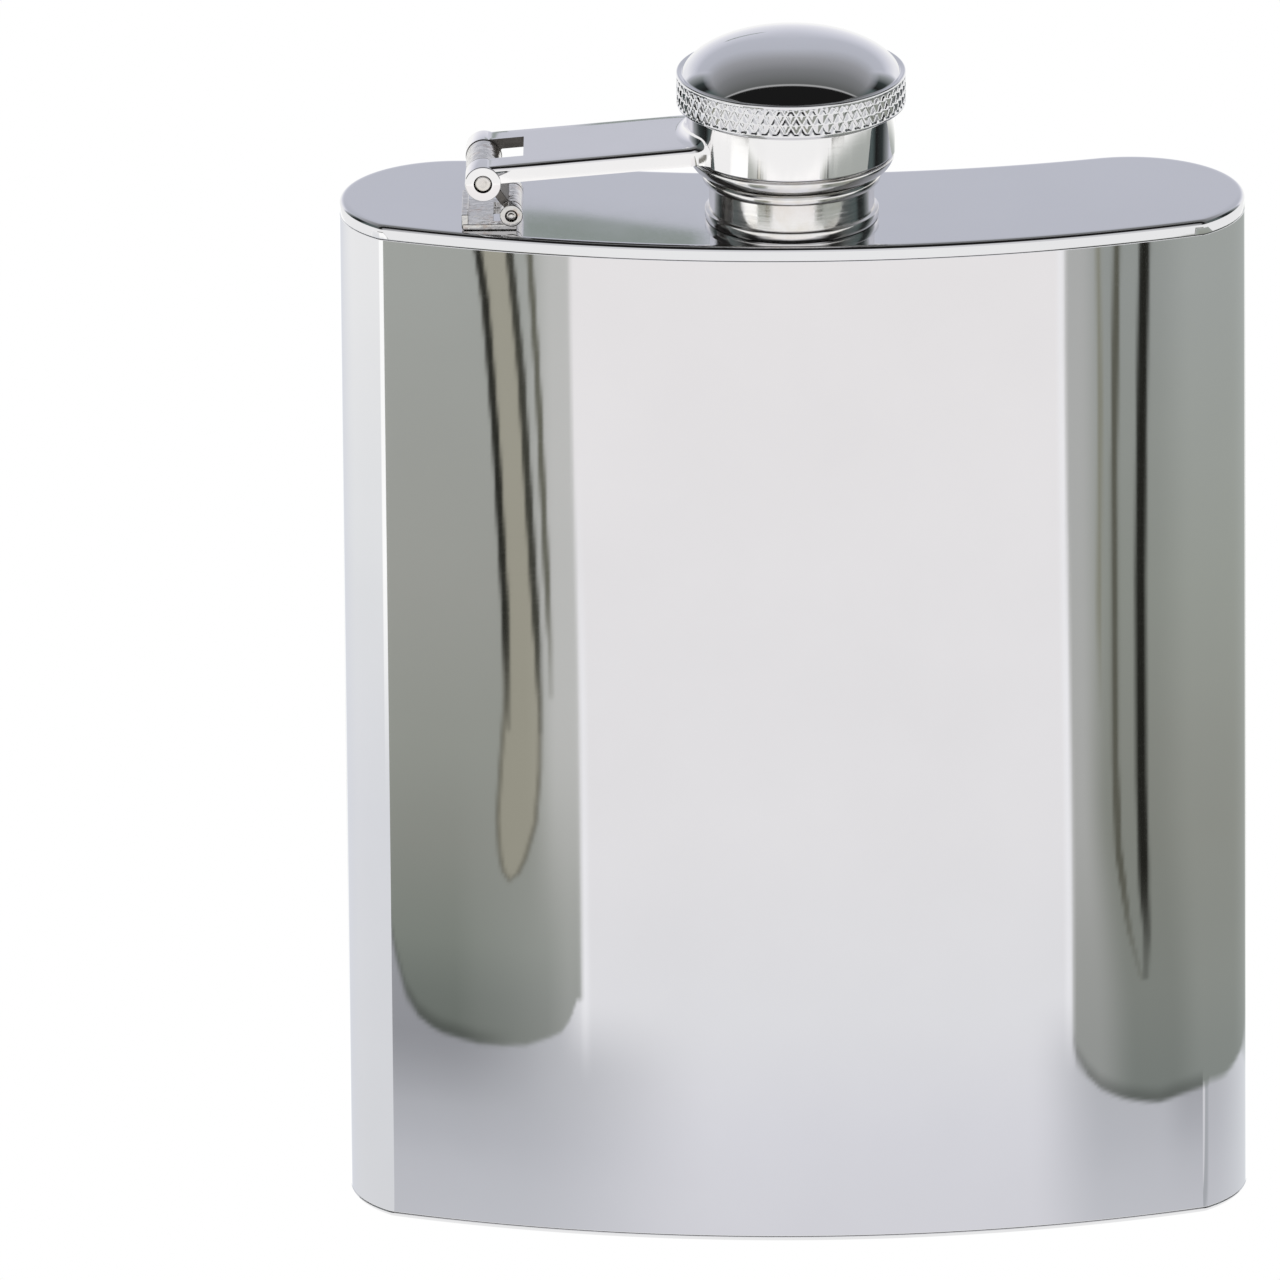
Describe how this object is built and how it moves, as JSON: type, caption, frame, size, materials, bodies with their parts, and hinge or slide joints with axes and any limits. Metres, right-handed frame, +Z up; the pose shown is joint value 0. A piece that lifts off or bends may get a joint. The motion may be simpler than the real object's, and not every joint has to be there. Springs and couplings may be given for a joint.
{
  "type": "hip flask",
  "caption": "Curved pocket flask of polished metal with a narrow neck and a knurled screw cap held on a hinged swing arm.",
  "frame": {"origin": "on the table under the middle of the flask's bounding box, cap and arm included", "axes": "+Z up along the neck, +X to the right and +Y to the concave back when the convex face is seen from the front, so the hinge is on the -X side"},
  "size_m": [0.095, 0.031, 0.1308],
  "materials": {
    "body_sheet": "mirror polished stainless sheet",
    "plate_sheet": "mirror polished stainless sheet",
    "arm_steel": "polished stainless strip",
    "cap_steel": "polished, knurled rim",
    "turned_steel": "turned and polished",
    "hinge_steel": "tumbled, slightly rough",
    "pin_steel": "cut wire",
    "seal_rubber": "matte food-grade silicone"
  },
  "bodies": {
    "flask": {"body_wrap": "body_sheet", "shoulder_plate": "plate_sheet", "base_plate": "plate_sheet", "neck": "turned_steel", "hinge_bracket": "hinge_steel", "bracket_pin": "pin_steel"},
    "link": {"hinge_link": "hinge_steel", "arm_pin": "pin_steel"},
    "arm": {"swing_arm": "arm_steel"},
    "cap": {"cap_shell": "cap_steel", "cap_liner": "turned_steel", "retaining_ring": "turned_steel", "cap_seal": "seal_rubber"}
  },
  "joints": [
    {"name": "link_pivot", "type": "hinge", "parent": "flask", "child": "link", "pos_m": [-0.0293, -0.0035, 0.1126], "axis": [0, -1, 0], "range_deg": [0, 18]},
    {"name": "arm_pivot", "type": "hinge", "parent": "link", "child": "arm", "pos_m": [-0.0322, -0.0035, 0.1167], "axis": [0, -1, 0], "range_deg": [0, 165]},
    {"name": "cap_turn", "type": "hinge", "parent": "arm", "child": "cap", "pos_m": [0, -0.0035, 0.111], "axis": [0, 0, 1], "continuous": true}
  ]
}
